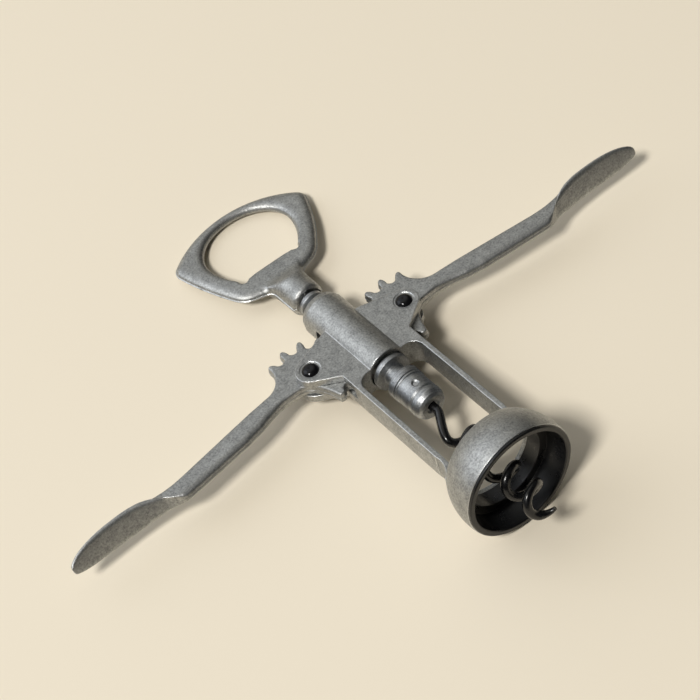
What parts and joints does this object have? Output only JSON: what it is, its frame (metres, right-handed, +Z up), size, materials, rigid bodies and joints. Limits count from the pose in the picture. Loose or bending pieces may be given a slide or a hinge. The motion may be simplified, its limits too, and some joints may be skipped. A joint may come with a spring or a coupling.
{
  "type": "wing corkscrew",
  "caption": "Wing corkscrew lying on its back: bell and barrel casting, two geared levers, ringed rack sleeve, open-helix worm and a crown-cap opener as its handle.",
  "frame": {"origin": "point on the resting plane under the centre of the bounding box, levers as in the picture", "axes": "+X from the left lever to the right lever, +Y from the bell towards the opener handle, +Z up out of the tool's front as it lies on its back; the tool's own axis leans 6.74 degrees down from +Y, because it lies on the bell's side and on the handle's far edge"},
  "size_m": [0.219, 0.1626, 0.0378],
  "materials": {
    "cast_zinc": "tumbled die-cast zinc alloy, satin pewter grey with burnished edges",
    "black_plastic": "black moulded plastic, semi-gloss",
    "black_steel": "black coated steel wire and rivets, glossy",
    "steel_pin": "plain drawn steel, satin"
  },
  "bodies": {
    "frame": {"frame_casting": "cast_zinc", "bell_liner": "black_plastic", "left_rivet": "black_steel", "right_rivet": "black_steel"},
    "shaft": {"rack_sleeve": "cast_zinc"},
    "screw": {"opener_handle": "cast_zinc", "worm_chuck": "cast_zinc", "chuck_pin": "steel_pin", "worm": "black_steel"},
    "left_wing": {"left_lever": "cast_zinc"},
    "right_wing": {"right_lever": "cast_zinc"}
  },
  "joints": [
    {"name": "shaft_slide", "type": "slide", "parent": "frame", "child": "shaft", "axis": [0, 0.9931, -0.1173], "range_m": [-0.0155, 0.0175]},
    {"name": "screw_spin", "type": "hinge", "parent": "shaft", "child": "screw", "pos_m": [0, 0.00477, 0.01065], "axis": [0, 0.9931, -0.1173], "continuous": true},
    {"name": "left_wing_hinge", "type": "hinge", "parent": "frame", "child": "left_wing", "pos_m": [-0.0182, 0.00477, 0.01065], "axis": [0, -0.1173, -0.9931], "range_deg": [-75, 66.5]},
    {"name": "right_wing_hinge", "type": "hinge", "parent": "frame", "child": "right_wing", "pos_m": [0.0182, 0.00477, 0.01065], "axis": [0, 0.1173, 0.9931], "range_deg": [-75, 66.5]}
  ],
  "couplings": [
    {"joint": "left_wing_hinge", "follows": "shaft_slide", "rad_per_m": -74.627},
    {"joint": "right_wing_hinge", "follows": "shaft_slide", "rad_per_m": -74.627}
  ]
}
